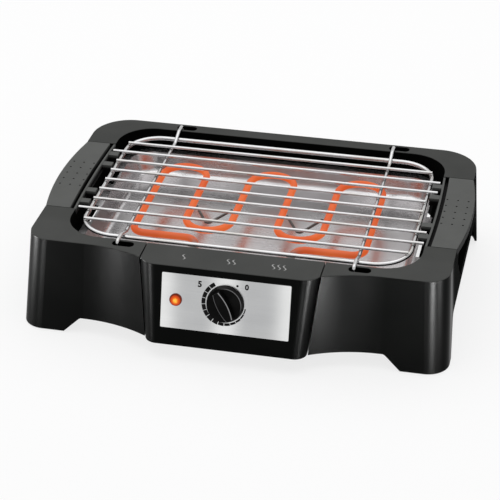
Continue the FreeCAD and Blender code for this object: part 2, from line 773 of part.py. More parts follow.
def panel_holes():
    """Holes for lamp, thermostat neck and screws through plate and wall."""
    def hole(x, y, r):
        return rod(r, (x, y, PANEL_T), (x, y, -2.0 * WALL))
    holes = [hole(LAMP_X, -LAMP_DROP, LENS_R + RUN_FIT), hole(0, 0, NECK_R + FIT)]
    return holes + [hole(s * THERMO_SCREW_X, 0, THERMO_SCREW_R + SCREW_FIT) for s in (-1, 1)]


def control_housing():
    outer = loft(box_outline(SKIRT_Z, 0, BOX_BACK), box_outline(RIM_Z, 0, BOX_BACK))
    outer = soft_rim(outer, BOX_BACK)
    inner = loft(box_outline(0, WALL, 0), box_outline(RIM_Z - DECK, WALL, 0))
    core = loft(box_outline(0, WALL / 2.0, BOX_BACK), box_outline(RIM_Z, WALL / 2.0, BOX_BACK))
    shell = outer.cut(inner)
    lip_x = NOTCH_X - PART_GAP
    lip = block(-lip_x, lip_x, BOX_BACK - FIT, OPEN_FRONT - SEAT, SADDLE_Z + SEAT, RIM_Z)
    lugs = []
    for side, y in lug_places():
        lug = block(LUG_IN, FAR, y - LUG_W / 2.0, y + LUG_W / 2.0, COVER_TOP, LUG_Z)
        lugs.append(core.common(lug if side > 0 else mirror(lug)))
    shell = shell.fuse([lip] + lugs)
    half_x = PANEL_W / 2.0 + FIT
    half_y = PANEL_H / 2.0 + FIT
    recess = block(-half_x, half_x, -half_y - PANEL_DROP, half_y - PANEL_DROP, -PANEL_SINK, FAR)
    cuts = [on_panel(recess)] + [on_panel(hole) for hole in panel_holes()]
    for side, y in lug_places():
        x = side * lug_x()
        cuts.append(rod(SCREW_R + RUN_FIT, (x, y, 0), (x, y, LUG_Z - LUG_W / 2.0)))
    return shell.cut(cuts).removeSplitter()


def panel_plate():
    plan = round_rect(0, -PANEL_DROP, PANEL_W / 2.0, PANEL_H / 2.0, PANEL_R, -PANEL_SINK)
    plate = prism(plan, (0, 0, PANEL_T))
    return on_panel(plate.cut(panel_holes()))


def pilot_lens():
    """Domed amber lens with a stem through the plate and the wall."""
    base = PLATE_FACE
    stem = rod(LENS_R, (0, 0, -SKIN - LENS_LONG), (0, 0, base))
    rim = rod(LENS_FLANGE_R, (0, 0, base), (0, 0, base + LENS_T))
    ball = (LENS_FLANGE_R ** 2 + LENS_DOME ** 2) / (2.0 * LENS_DOME)
    dome = Part.makeSphere(ball, V(0, 0, base + LENS_T + LENS_DOME - ball))
    dome = dome.common(block(-FAR, FAR, -FAR, FAR, base + LENS_T, FAR))
    lens = stem.fuse([rim, dome]).removeSplitter()
    lens.translate(V(LAMP_X, -LAMP_DROP, 0))
    return on_panel(lens)


def pilot_lamp():
    top = -SKIN - LENS_LONG
    body = rod(LAMP_R, (LAMP_X, -LAMP_DROP, top - LAMP_LONG), (LAMP_X, -LAMP_DROP, top))
    return on_panel(body)


def thermostat_body():
    """Square body behind the panel, with a neck round the shaft and a tab on each side."""
    half = THERMO_W / 2.0
    back = -SKIN - THERMO_DEEP
    body = block(-half, half, -half, half, back, -SKIN)
    neck = rod(NECK_R, (0, 0, -SKIN), (0, 0, PLATE_FACE + NECK_LONG))
    middle = (back - SKIN) / 2.0
    tabs = block(-half - TAB_LONG, half + TAB_LONG, -TAB_W / 2.0, TAB_W / 2.0, middle, middle + TAB_T)
    cuts = [rod(SHAFT_R + RUN_FIT, (0, 0, -SHAFT_IN - SKIN), (0, 0, FAR))]
    for s in (-1, 1):
        x = s * THERMO_SCREW_X
        cuts.append(rod(THERMO_SCREW_R + RUN_FIT, (x, 0, -SKIN - THERMO_SCREW_IN - FIT), (x, 0, 0)))
    return on_panel(body.fuse([neck, tabs]).cut(cuts).removeSplitter())


def thermostat_shaft():
    return on_panel(rod(SHAFT_R, (0, 0, FIT - SHAFT_IN - SKIN), (0, 0, SHAFT_OUT)))


def thermostat_screws():
    screws = []
    for s in (-1, 1):
        x = s * THERMO_SCREW_X
        head = rod(SCREW_HEAD_R, (x, 0, PLATE_FACE), (x, 0, PLATE_FACE + SCREW_HEAD_T))
        shank = rod(THERMO_SCREW_R, (x, 0, -SKIN - THERMO_SCREW_IN), (x, 0, PLATE_FACE))
        screws.append(on_panel(head.fuse(shank).removeSplitter()))
    return Part.makeCompound(screws)


def grip_plan(mid, end, z):
    """Lens-shaped bar seen from the front."""
    tip = KNOB_R
    return Part.Wire([
        Part.Arc(V(end, -tip, z), V(mid, 0, z), V(end, tip, z)).toShape(),
        line((end, tip, z), (-end, tip, z)),
        Part.Arc(V(-end, tip, z), V(-mid, 0, z), V(-end, -tip, z)).toShape(),
        line((-end, -tip, z), (end, -tip, z)),
    ])


def knob():
    low = PLATE_FACE + KNOB_GAP
    top = low + KNOB_TALL
    skirt = Part.makeCone(KNOB_R, KNOB_TOP_R, KNOB_SKIRT, V(0, 0, low))
    bar = loft(grip_plan(GRIP_MID, GRIP_END, low + KNOB_SKIRT / 2.0),
               grip_plan(GRIP_MID - GRIP_DRAFT, GRIP_END - GRIP_DRAFT, top))
    reach = KNOB_TOP_R - GRIP_INSET
    bar = bar.common(Part.makeCone(reach, reach - GRIP_DRAFT, KNOB_TALL, V(0, 0, low)))
    body = skirt.fuse(bar).removeSplitter()
    edges = [e for e in body.Edges if e.BoundBox.ZMin > top - SEAT]
    body = body.makeFillet(KNOB_EDGE, edges)
    well_top = low + KNOB_SKIRT - KNOB_WALL
    well = rod(KNOB_TOP_R - KNOB_WALL, (0, 0, 0), (0, 0, well_top))
    well = well.cut(rod(HUB_R, (0, 0, PLATE_FACE + NECK_LONG + FIT), (0, 0, FAR)))
    bore = rod(SHAFT_R + RUN_FIT, (0, 0, 0), (0, 0, SHAFT_OUT + FIT))
    body = body.cut([well, bore]).removeSplitter()
    body.rotate(V(0, 0, 0), V(0, 0, 1), KNOB_TURN)
    return on_panel(body)


def rear_plate():
    """Steel plate that closes the back of the control box."""
    def half(z):
        return at(NOTCH_X, -NOTCH_TAPER, z) - PART_GAP - WALL - FIT
    top = SADDLE_Z
    y = BOX_BACK - FIT - PLATE_T
    plan = polygon([(-half(COVER_TOP), y, COVER_TOP), (half(COVER_TOP), y, COVER_TOP),
                    (half(top), y, top), (-half(top), y, top)])
    plate = prism(plan, (0, PLATE_T, 0))
    holes = [rod(TUBE_R + RUN_FIT, (x, -FAR, TUBE_Z), (x, FAR, TUBE_Z)) for x in (-ENTRY_X, ENTRY_X)]
    return plate.cut(holes)


def bottom_cover():
    low = SKIRT_Z + COVER_RISE
    inset = WALL + FIT
    cover = loft(box_outline(low, inset, BOX_BACK), box_outline(COVER_TOP, inset, BOX_BACK))
    cuts = [rod(BUSH_R + FIT, (BUSH_X, BUSH_Y, 0), (BUSH_X, BUSH_Y, RIM_Z))]
    for side, y in lug_places():
        x = side * lug_x()
        cuts.append(rod(SCREW_R + SCREW_FIT, (x, y, 0), (x, y, RIM_Z)))
    return cover.cut(cuts)


def cover_screws():
    low = SKIRT_Z + COVER_RISE
    length = LUG_Z - LUG_W / 2.0 - low - FIT
    return Part.makeCompound([screw(side * lug_x(), y, low, length) for side, y in lug_places()])


def cord_bush():
    """Rubber bush in the bottom cover, where a supply cord enters."""
    low = SKIRT_Z + COVER_RISE
    flange = rod(BUSH_FLANGE_R, (BUSH_X, BUSH_Y, low - BUSH_T), (BUSH_X, BUSH_Y, low))
    sleeve = rod(BUSH_R, (BUSH_X, BUSH_Y, low), (BUSH_X, BUSH_Y, COVER_TOP + BUSH_T))
    bore = rod(BUSH_BORE, (BUSH_X, BUSH_Y, 0), (BUSH_X, BUSH_Y, RIM_Z))
    return flange.fuse(sleeve).removeSplitter().cut(bore)


def terminal_block():
    y1 = BLOCK_Y + BLOCK_DEEP
    return block(-BLOCK_X, BLOCK_X, BLOCK_Y, y1, COVER_TOP, COVER_TOP + BLOCK_TALL)


def internal_leads():
    """Insulated leads from the element's pins to the thermostat and the terminal block."""
    tab = on_panel(Part.Vertex(THERMO_W / 2.0 + TAB_LONG, 0, -SKIN - THERMO_DEEP / 2.0)).Point
    pin_y = BOX_BACK - TUBE_END - PIN_LONG - FIT
    bend_y = pin_y - 2.0 * LEAD_BEND
    top = COVER_TOP + BLOCK_TALL
    middle = COVER_TOP + BLOCK_TALL / 2.0
    block_y = BLOCK_Y + BLOCK_DEEP / 2.0
    pole = BLOCK_X - POLE_IN
    loop = tab.x + 3.0 * LEAD_BEND
    routes = [
        [(-ENTRY_X, pin_y, TUBE_Z), (-ENTRY_X, bend_y, TUBE_Z), (-loop, bend_y, tab.z),
         (-tab.x - FIT, tab.y, tab.z)],
        [(ENTRY_X, pin_y, TUBE_Z), (ENTRY_X, bend_y, TUBE_Z), (ENTRY_X, bend_y, middle),
         (BLOCK_X + LEAD_R, block_y, middle)],
        [(tab.x + FIT, tab.y, tab.z), (loop, tab.y, tab.z), (loop, block_y, top + 3.0 * LEAD_BEND),
         (pole, block_y, top + 3.0 * LEAD_BEND), (pole, block_y, top + FIT)],
    ]
    return Part.makeCompound([bent_rod(route, LEAD_BEND, LEAD_R) for route in routes])


def pieces():
    made = {"base_shell": base_shell()}
    for place, (x, y) in pad_places().items():
        made["foot_pad_" + place] = foot_pad(x, y)
    for name, shape in (("handle", handle()), ("side_guide", side_guide())):
        made[name + "_right"] = shape
        made[name + "_left"] = mirror(shape)
    made["handle_screws"] = handle_screws()
    made["drip_tray"] = drip_tray()
    made["grid_frame"] = grid_frame()
    for k in range(BAR_COUNT):
        made["grid_bar_%d" % (k + 1)] = grid_bar(k)
    made["cross_wire_left"] = cross_wire(-CROSS_X)
    made["cross_wire_right"] = cross_wire(CROSS_X)
    made["heating_element"] = heating_element()
    made["element_pins"] = element_pins()
    made["element_collars"] = element_collars()
    made["element_support_left"] = element_support(1)
    made["element_support_right"] = element_support(3)
    made["control_housing"] = control_housing()
    made["panel_plate"] = panel_plate()
    made["pilot_lens"] = pilot_lens()
    made["pilot_lamp"] = pilot_lamp()
    made["thermostat_body"] = thermostat_body()
    made["thermostat_shaft"] = thermostat_shaft()
    made["thermostat_screws"] = thermostat_screws()
    made["knob"] = knob()
    made["rear_plate"] = rear_plate()
    made["bottom_cover"] = bottom_cover()
    made["cover_screws"] = cover_screws()
    made["cord_bush"] = cord_bush()
    made["terminal_block"] = terminal_block()
    made["internal_leads"] = internal_leads()
    return made


os.makedirs("parts", exist_ok=True)
for node, solid in pieces().items():
    solid.translate(V(0, RING_Y, 0))
    solid.exportStep("parts/" + node + ".step")
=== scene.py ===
import json
import math

import bpy
import numpy as np
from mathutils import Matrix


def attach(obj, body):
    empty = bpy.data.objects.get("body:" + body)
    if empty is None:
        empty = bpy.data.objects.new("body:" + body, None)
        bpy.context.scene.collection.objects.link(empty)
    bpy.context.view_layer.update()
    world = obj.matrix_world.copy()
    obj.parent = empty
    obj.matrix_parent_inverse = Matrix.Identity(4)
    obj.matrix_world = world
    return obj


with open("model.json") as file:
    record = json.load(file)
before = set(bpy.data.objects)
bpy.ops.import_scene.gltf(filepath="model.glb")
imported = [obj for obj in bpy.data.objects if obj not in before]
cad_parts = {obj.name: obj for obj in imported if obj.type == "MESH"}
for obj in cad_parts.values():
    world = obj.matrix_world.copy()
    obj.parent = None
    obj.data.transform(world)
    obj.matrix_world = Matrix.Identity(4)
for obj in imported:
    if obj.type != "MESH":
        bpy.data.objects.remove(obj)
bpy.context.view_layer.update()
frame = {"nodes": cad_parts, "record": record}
nodes = frame["nodes"]

MM = 0.001
RING_Y = 24.7
RIM_Z = 105.0
PANEL_LEAN = math.radians(14.0)
PANEL_MIDDLE = np.array([0.0, -189.127 + RING_Y, 70.4])
LENS_MIDDLE = (-54.2, 68.95)
PLATE_FACE = 0.6
INK_LIFT = 0.04
KNOB_TURN = 30.0
GRIP_SWING = 49.9
GRIP_ARC = 55.4
RIM_RING = 18.5
DASH_COUNT = 14
DASH_START = 30.0
DASH_END = 262.0
DASH_GAP = 0.7
DASH_IN = 21.6
DASH_THICK = 4.4
DASH_TAPER = 3.1
DASH_EVEN = 0.45
DOT_TURN = math.radians(-30.0)
DOT_REACH = 24.4
DOT_R = 1.3
NUMBER_BOLD = 0.38
WAVE_Y = RING_Y - 160.0
WAVE_APART = 52.0
WAVE_STEP = 6.0
WAVE_TALL = 11.0
WAVE_STROKE = 1.4
BAR_COUNT = 9
BAR_FIRST = RING_Y - 99.0
BAR_PITCH = 23.6
RAIL_X = 183.5
RAIL_END_X = {0: 180.6, 8: 181.8}
CROSS_X = 130.0
RAIL_WELD_Z = 102.4
CROSS_WELD_Z = 102.35
STRIP_AWAY = 0.8
STRIP_TALL = 0.10
STRIP_Z = 0.05
STRIP_SPREAD = math.radians(40.0)


# Shader maths

class Val:
    """A socket of a node tree with arithmetic: each operator adds one Math node."""

    def __init__(self, tree, socket=None):
        self.tree = tree
        self.socket = socket

    def node(self, kind, settings=None, sockets=None, out=0):
        """Add a node of that kind: settings first, ramp stops among them, then values or links."""
        made = self.tree.nodes.new("ShaderNode" + kind)
        for key, value in (settings or {}).items():
            if key == "stops":
                ramp = made.color_ramp
                while len(ramp.elements) < len(value):
                    ramp.elements.new(0.5)
                for stop, (place, colour) in zip(ramp.elements, value):
                    stop.position = place
                    stop.color = colour if len(colour) == 4 else (*colour, 1.0)
            else:
                setattr(made, key, value)
        for key, value in (sockets or {}).items():
            if isinstance(value, Val):
                self.tree.links.new(value.socket, made.inputs[key])
            else:
                made.inputs[key].default_value = value
        return Val(self.tree, made.outputs[out])

    def out(self, key):
        return Val(self.tree, self.socket.node.outputs[key])

    def math(self, operation, *others):
        values = [self, *others]
        return self.node("Math", {"operation": operation}, dict(enumerate(values)))

    def __add__(self, other):
        return self.math("ADD", other)

    __radd__ = __add__

    def __sub__(self, other):
        return self.math("SUBTRACT", other)

    def __rsub__(self, other):
        return self.node("Math", {"operation": "SUBTRACT"}, {0: other, 1: self})

    def __mul__(self, other):
        return self.math("MULTIPLY", other)

    __rmul__ = __mul__

    def __truediv__(self, other):
        return self.math("DIVIDE", other)

    def __rtruediv__(self, other):
        return self.node("Math", {"operation": "DIVIDE"}, {0: other, 1: self})

    def __pow__(self, other):
        return self.math("POWER", other)

    def __rpow__(self, other):
        return self.node("Math", {"operation": "POWER"}, {0: other, 1: self})

    def smooth(self, low, high):
        """0 below low, 1 above high, eased between."""
        return self.node("MapRange", {"interpolation_type": "SMOOTHSTEP"},
                         {"Value": self, "From Min": low, "From Max": high})

    def mix(self, a, b):
        """Colour a where this is 0, colour b where it is 1."""
        first, second = (c if isinstance(c, Val) else (*c, 1.0) for c in (a, b))
        return self.node("Mix", {"data_type": "RGBA"}, {0: self, 6: first, 7: second}, out=2)

    def seen(self):
        """1 where the camera, a shine or a clear piece looks straight at this surface, else 0."""
        path = self.node("LightPath")
        straight = path.out("Is Camera Ray").math("MAXIMUM", path.out("Is Glossy Ray"))
        return straight.math("MAXIMUM", path.out("Is Transmission Ray"))


class Finish:
    """A material under way: its coordinates in millimetres, patterns on them, and its surface."""

    def __init__(self, name):
        self.material = bpy.data.materials.new(name)
        self.material.use_nodes = True
        tree = self.material.node_tree
        tree.nodes.clear()
        self.start = Val(tree)
        self.place = self.start.node("TexCoord", out="Object")

    def scaled(self, x, y, z, turn=(0.0, 0.0, 0.0)):
        """Coordinates with so many pattern units for each millimetre along x, y and z."""
        return self.start.node("Mapping", {"vector_type": "POINT"}, {
            "Vector": self.place, "Rotation": turn, "Scale": (x / MM, y / MM, z / MM)})

    def axes(self):
        parts = self.start.node("SeparateXYZ", None, {0: self.scaled(1.0, 1.0, 1.0)})
        return [parts.out(k) for k in range(3)]

    def noise(self, x, y=None, z=None, detail=3.0, rough=0.55):
        """Cloudy pattern from 0 to 1; x, y and z are its units for each millimetre."""
        where = self.scaled(x, x if y is None else y, x if z is None else z)
        return self.start.node("TexNoise", None, {
            "Vector": where, "Scale": 1.0, "Detail": detail, "Roughness": rough})

    def surface(self, sockets, bump=None, depth=0.0, matt=None):
        """Principled surface.

        bump is a height pattern of that depth in millimetres, matt the share that has no shine.
        """
        if bump is not None:
            sockets = dict(sockets)
            sockets["Normal"] = self.start.node("Bump", None, {
                "Height": bump, "Strength": 1.0, "Distance": depth * MM})
        shader = self.start.node("BsdfPrincipled", None, sockets)
        if matt is not None:
            plain = self.start.node("BsdfPrincipled", None, {**sockets, "Specular IOR Level": 0.0})
            shader = self.start.node("MixShader", None, {0: matt, 1: shader, 2: plain})
        end = self.start.tree.nodes.new("ShaderNodeOutputMaterial")
        self.start.tree.links.new(shader.socket, end.inputs["Surface"])
        return self.material


def moulded_black():
    """Black moulding: grainy and half-matt on the rim, whose grey is partly its own tone and partly a
    painted soft highlight; smooth in front, dull behind, dullest on the sides.
    """
    f = Finish("moulded_black")
    x, y, z = f.axes()
    top = z.smooth(RIM_Z - 0.9, RIM_Z - 0.25)
    aside = y.smooth(RING_Y - 128.0, RING_Y - 100.0)
    flank = aside * (1.0 - y.smooth(RING_Y + 80.0, RING_Y + 150.0)) * (1.0 - top)
    cloud = f.noise(0.02, detail=2.0)
    grain = f.noise(1.6, detail=2.0, rough=0.6)
    peel = f.noise(0.12, detail=1.0)
    speckle = (cloud * 0.5 + grain * 0.5).smooth(0.3, 0.7)
    # The rim's grey is partly the plastic's own dark grey and partly a painted soft highlight, far lighter
    # than the near-black walls.
    rim_grey_and_painted_highlight = speckle.mix((0.052, 0.0535, 0.0515), (0.065, 0.0665, 0.064))
    wall = cloud.smooth(0.35, 0.7).mix((0.0008, 0.0011, 0.0009), (0.0016, 0.0019, 0.0016))
    height = grain * (top * 0.85 + 0.15) + peel * 0.4
    rough = top.math("MAXIMUM", aside * 2.6) * 0.20 + cloud * 0.05 + 0.27
    return f.surface({"Base Color": top.mix(wall, rim_grey_and_painted_highlight), "Roughness": rough, "Specular IOR Level": 0.028},
                     height, 0.02, flank * 0.65)


def handle_grain():
    """Handle plastic: dark grey, dull, with a fine leather-like grain and painted shade in the dots."""
    f = Finish("handle_grain")
    x, y, z = f.axes()
    top = z.smooth(RIM_Z - 6.0, RIM_Z - 0.8)
    cloud = f.noise(0.03, detail=2.0)
    grain = f.noise(1.3, detail=3.0)
    # Painted shade: beyond 205 mm from the middle and below the top face, on the dot floors and the outer
    # rounded edge, the grey is darkened.
    painted_dot_shade = x.math("ABSOLUTE").smooth(205.0, 206.0) * (1.0 - z.smooth(RIM_Z - 0.75, RIM_Z - 0.35))
    dull = cloud.mix((0.080, 0.082, 0.079), (0.106, 0.1085, 0.105))
    shade = top * (1.0 - painted_dot_shade * 0.9)
    colour = shade.mix((0.003, 0.003, 0.003), dull)
    return f.surface({"Base Color": colour, "Roughness": grain * 0.12 + 0.50, "Specular IOR Level": 0.05},
                     grain, 0.035)


def bright_wire():
    """Plated wire: bright, with faint drawing marks and a little heat tint."""
    f = Finish("bright_wire")
    marks = f.noise(0.9, detail=3.0)
    tint = f.noise(0.018, detail=2.0).smooth(0.45, 0.75)
    colour = tint.mix((0.48, 0.48, 0.485), (0.40, 0.385, 0.365))
    return f.surface({"Base Color": colour, "Metallic": 1.0, "Roughness": marks * 0.12 + 0.16}, marks, 0.01)


def scaled_wire():
    """Support wire darkened by heat, with a rough scale."""
    f = Finish("scaled_wire")
    scale = f.noise(0.8, detail=4.0)
    colour = scale.smooth(0.35, 0.7).mix((0.05, 0.047, 0.045), (0.13, 0.12, 0.115))
    return f.surface({"Base Color": colour, "Metallic": 0.8, "Roughness": scale * 0.2 + 0.38}, scale, 0.03)


def pressed_tray():
    """Bright pressed sheet: long fine rolling marks, slight waves and dull patches."""
    f = Finish("pressed_tray")
    rolled = f.noise(0.012, 1.2, 1.2, detail=3.0)
    waves = f.noise(0.012, detail=1.0)
    dull = f.noise(0.012, detail=4.0).smooth(0.35, 0.75)
    colour = dull.mix((0.52, 0.51, 0.515), (0.36, 0.35, 0.355))
    rough = rolled * 0.08 + dull * 0.10 + 0.20
    return f.surface({"Base Color": colour, "Metallic": 1.0, "Roughness": rough},
                     waves * 6.0 + rolled * 0.1, 0.05)


def brushed_panel():
    """Panel sheet brushed across: fine streaks along x, with painted highlights in three broad bands."""
    f = Finish("brushed_panel")
    x, y, z = f.axes()
    streak = f.noise(0.02, 7.0, 7.0, detail=5.0, rough=0.75)
    # Painted highlights: broad bright bands at the plate's two ends and its middle, mixed with the brushing
    # streaks and a drift in tone.
    painted_highlight_bands = (x * (2.0 * math.pi / 70.0)).math("COSINE") * 0.5 + 0.5
    drift = f.noise(0.015, 0.05, 0.05, detail=1.0)
    bright = (painted_highlight_bands ** 2.0) * 0.55 + streak * 0.45 + drift * 0.2 - 0.1
    colour = bright.smooth(0.0, 1.0).mix((0.44, 0.445, 0.45), (0.85, 0.855, 0.85))
    return f.surface({"Base Color": colour, "Metallic": 1.0, "Roughness": streak * 0.08 + 0.16},
                     streak, 0.008)


def glowing_tube():
    """Heated tube: glows in the legs, dark and scaled towards the control box."""
    f = Finish("glowing_tube")
    x, y, z = f.axes()
    hot = y.smooth(RING_Y - 112.0, RING_Y - 84.0)
    scale = f.noise(0.25, detail=4.0)
    flow = f.noise(0.02, detail=2.0)
    steel = scale.mix((0.10, 0.095, 0.09), (0.20, 0.19, 0.18))
    colour = hot.mix(steel, (0.16, 0.035, 0.012))
    glow = flow.smooth(0.3, 0.7).mix((0.54, 0.070, 0.010), (0.64, 0.115, 0.022))
    emit = hot.mix((0.0, 0.0, 0.0), glow)
    return f.surface({"Base Color": colour, "Roughness": scale * 0.2 + 0.42, "Specular IOR Level": 0.3,
                      "Emission Color": emit, "Emission Strength": 1.0}, scale, 0.03)


def lit_lens():
    """Orange lamp lens: lit from behind, brighter in the middle, cut in small rings."""
    f = Finish("lit_lens")
    x, y, z = f.axes()
    dx = x - LENS_MIDDLE[0]
    dz = z - LENS_MIDDLE[1]
    reach = (dx * dx + dz * dz) ** 0.5
    rings = (reach * 4.2).math("SINE") * 0.5 + 0.5
    spark = f.noise(0.9, detail=2.0).smooth(0.45, 0.7)
    core = 1.0 - reach.smooth(0.4, 4.6)
    body = core.mix((0.48, 0.045, 0.004), (0.86, 0.24, 0.012))
    glow = (spark * core * 0.8 + (core ** 3.0) * 0.6).mix(body, (0.96, 0.56, 0.08))
    edge = reach.smooth(4.8, 6.2).mix(glow, (0.10, 0.010, 0.002))
    return f.surface({"Base Color": edge, "Roughness": rings * 0.08 + 0.14, "Specular IOR Level": 0.12,
                      "Emission Color": edge, "Emission Strength": 0.6}, rings, 0.12)


def knob_black():
    """Glossy black knob, with painted highlights: pale lines along the grip's two long edges and on the
    upper right of its rim.

    The edges are arcs about middles GRIP_SWING to either side of the grip's own middle line.
    """
    f = Finish("knob_black")
    x, y, z = f.axes()
    rub = f.noise(0.35, detail=4.0)
    haze = f.noise(0.08, detail=2.0).smooth(0.4, 0.7)
    back = y - float(PANEL_MIDDLE[1])
    high = z - float(PANEL_MIDDLE[2])
    up = back * math.sin(PANEL_LEAN) + high * math.cos(PANEL_LEAN)
    out = high * math.sin(PANEL_LEAN) - back * math.cos(PANEL_LEAN)
    turn = math.radians(KNOB_TURN)
    across = x * math.cos(turn) + up * math.sin(turn)
    along = up * math.cos(turn) - x * math.sin(turn)

    def near(reach, radius):
        return 1.0 - (reach - radius).math("ABSOLUTE").smooth(0.2, 0.6)

    def painted_grip_highlight(side):
        span = across * side + GRIP_SWING
        return near((span * span + along * along) ** 0.5, GRIP_ARC)

    # Painted highlights, not wear: a pale arc on the upper right of the rim ring and pale lines on the
    # grip's edges, the left one weaker.
    reach = (x * x + up * up) ** 0.5
    rim = near(reach, RIM_RING) * ((x + up) / reach).smooth(0.5, 1.35) * (1.0 - out.smooth(8.2, 8.8))
    edges = (painted_grip_highlight(1.0) + painted_grip_highlight(-1.0) * 0.3) * out.smooth(14.0, 14.8)
    black = haze.mix((0.002, 0.002, 0.002), (0.005, 0.005, 0.005))
    colour = (edges + rim * 0.6).mix(black, (0.34, 0.34, 0.345))
    return f.surface({"Base Color": colour, "Roughness": rub * 0.08 + 0.28, "Specular IOR Level": 0.05},
                     rub, 0.006)


def soft_rubber():
    """Matt black rubber with a dusty bloom."""
    f = Finish("soft_rubber")
    dust = f.noise(0.4, detail=4.0)
    colour = dust.smooth(0.35, 0.75).mix((0.010, 0.010, 0.010), (0.028, 0.028, 0.027))
    return f.surface({"Base Color": colour, "Roughness": dust * 0.15 + 0.70}, dust, 0.05)


def zinc_steel():
    """Plain zinc-plated steel with a spangled tone."""
    f = Finish("zinc_steel")
    where = f.scaled(0.35, 0.35, 0.35)
    spangle = f.start.node("TexVoronoi", None, {"Vector": where, "Scale": 1.0}, out="Color")
    tone = f.start.node("SeparateColor", None, {"Color": spangle})
    fine = f.noise(1.5, detail=2.0)
    colour = tone.mix((0.50, 0.50, 0.51), (0.63, 0.63, 0.64))
    return f.surface({"Base Color": colour, "Metallic": 1.0, "Roughness": fine * 0.15 + 0.28}, fine, 0.008)


def pale_ceramic():
    """Unglazed ceramic with specks."""
    f = Finish("pale_ceramic")
    speck = f.noise(0.9, detail=3.0)
    colour = speck.smooth(0.5, 0.8).mix((0.78, 0.75, 0.69), (0.60, 0.56, 0.50))
    return f.surface({"Base Color": colour, "Roughness": speck * 0.2 + 0.55}, speck, 0.03)


def woven_sleeve():
    """Glass-fibre sleeve of the inner leads: a fine braid."""
    f = Finish("woven_sleeve")
    braid = f.start.node("TexWave", {"wave_type": "BANDS", "bands_direction": "DIAGONAL"},
                         {"Vector": f.scaled(1.0, 1.0, 1.0), "Scale": 0.35, "Distortion": 1.5})
    colour = braid.out(1).mix((0.40, 0.39, 0.36), (0.62, 0.61, 0.58))
    return f.surface({"Base Color": colour, "Roughness": braid.out(1) * 0.1 + 0.75}, braid.out(1), 0.08)


def lamp_glass():
    """Small neon tube: warm glass with a glowing core."""
    f = Finish("lamp_glass")
    cloud = f.noise(0.5, detail=2.0)
    colour = cloud.mix((0.85, 0.45, 0.25), (0.95, 0.60, 0.40))
    return f.surface({"Base Color": colour, "Roughness": cloud * 0.05 + 0.05, "Emission Color": colour,
                      "Emission Strength": 0.4})


def panel_ink():
    """Black screen print, slightly worn."""
    f = Finish("panel_ink")
    worn = f.noise(0.8, detail=4.0)
    colour = worn.smooth(0.55, 0.8).mix((0.006, 0.006, 0.006), (0.03, 0.03, 0.03))
    return f.surface({"Base Color": colour, "Roughness": worn * 0.2 + 0.4, "Specular IOR Level": 0.08})


def rim_print():
    """Pale grey print on the control box, thin enough for the grain to show."""
    f = Finish("rim_print")
    worn = f.noise(1.2, detail=3.0)
    colour = worn.smooth(0.35, 0.75).mix((0.34, 0.34, 0.335), (0.22, 0.22, 0.218))
    return f.surface({"Base Color": colour, "Roughness": worn * 0.2 + 0.5})


finishes = {
    "body_plastic": moulded_black(),
    "handle_plastic": handle_grain(),
    "foot_rubber": soft_rubber(),
    "tray_metal": pressed_tray(),
    "panel_steel": brushed_panel(),
    "lamp_lens": lit_lens(),
    "lamp_glass": lamp_glass(),
    "knob_plastic": knob_black(),
    "lead_cover": woven_sleeve(),
    "terminal_ceramic": pale_ceramic(),
    "element_tube": glowing_tube(),
    "grid_wire": bright_wire(),
    "support_wire": scaled_wire(),
    "inner_steel": zinc_steel(),
}
for part in frame["record"]["subparts"]:
    mesh = nodes[part["node"]].data
    mesh.materials.clear()
    mesh.materials.append(finishes[part["material_slot"]])

for name in ("knob", "handle_left", "handle_right", "side_guide_left", "side_guide_right"):
    soft = nodes[name].modifiers.new("soft_edges", "BEVEL")
    soft.width = 0.4 * MM
    soft.segments = 2
    soft.limit_method = "ANGLE"
    soft.angle_limit = math.radians(40.0)
    soft.harden_normals = True


# Surfaces worked out as arrays

def grid_faces(rows, columns, wrap_rows=False, wrap_columns=False):
    """Quads of a rows by columns grid of points, closed on itself where asked."""
    r = np.arange(rows if wrap_rows else rows - 1)
    c = np.arange(columns if wrap_columns else columns - 1)
    r, c = (a.ravel() for a in np.meshgrid(r, c, indexing="ij"))
    r1 = (r + 1) % rows
    c1 = (c + 1) % columns
    return np.stack([r * columns + c, r * columns + c1, r1 * columns + c1, r1 * columns + c], axis=1)


def piece(name, points, faces, material, body, smooth=True):
    """A mesh from points in millimetres, riding on a body."""
    mesh = bpy.data.meshes.new(name)
    corners = faces.tolist() if isinstance(faces, np.ndarray) else faces
    mesh.from_pydata((np.asarray(points) * MM).tolist(), [], corners)
    mesh.polygons.foreach_set("use_smooth", np.full(len(mesh.polygons), smooth))
    mesh.materials.append(material)
    mesh.update()
    made = bpy.data.objects.new(name, mesh)
    bpy.context.scene.collection.objects.link(made)
    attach(made, body)
    return made


def joined(patches):
    """Several (points, faces) patches as one."""
    starts = np.cumsum([0] + [len(p) for p, _ in patches[:-1]])
    points = np.concatenate([p for p, _ in patches])
    faces = np.concatenate([f + s for (_, f), s in zip(patches, starts)])
    return points, faces


def on_panel(local):
    """Points of the panel's own frame, x right, y up the panel, z outwards, in the CAD frame."""
    x, y, z = np.moveaxis(np.asarray(local, float), -1, 0)
    sin, cos = math.sin(PANEL_LEAN), math.cos(PANEL_LEAN)
    return PANEL_MIDDLE + np.stack([x, sin * y - cos * z, cos * y + sin * z], axis=-1)


def ring_dash(start, end, inner, outer):
    """Part of a flat ring: angle from start to end, counted from straight up to the left, by radius."""
    a, r = np.meshgrid(np.radians(np.linspace(start, end, 12)), np.linspace(inner, outer, 3), indexing="ij")
    flat = np.stack([-r * np.sin(a), r * np.cos(a), np.full(a.shape, PLATE_FACE + INK_LIFT)], axis=-1)
    return on_panel(flat).reshape(-1, 3), grid_faces(12, 3)[:, ::-1]


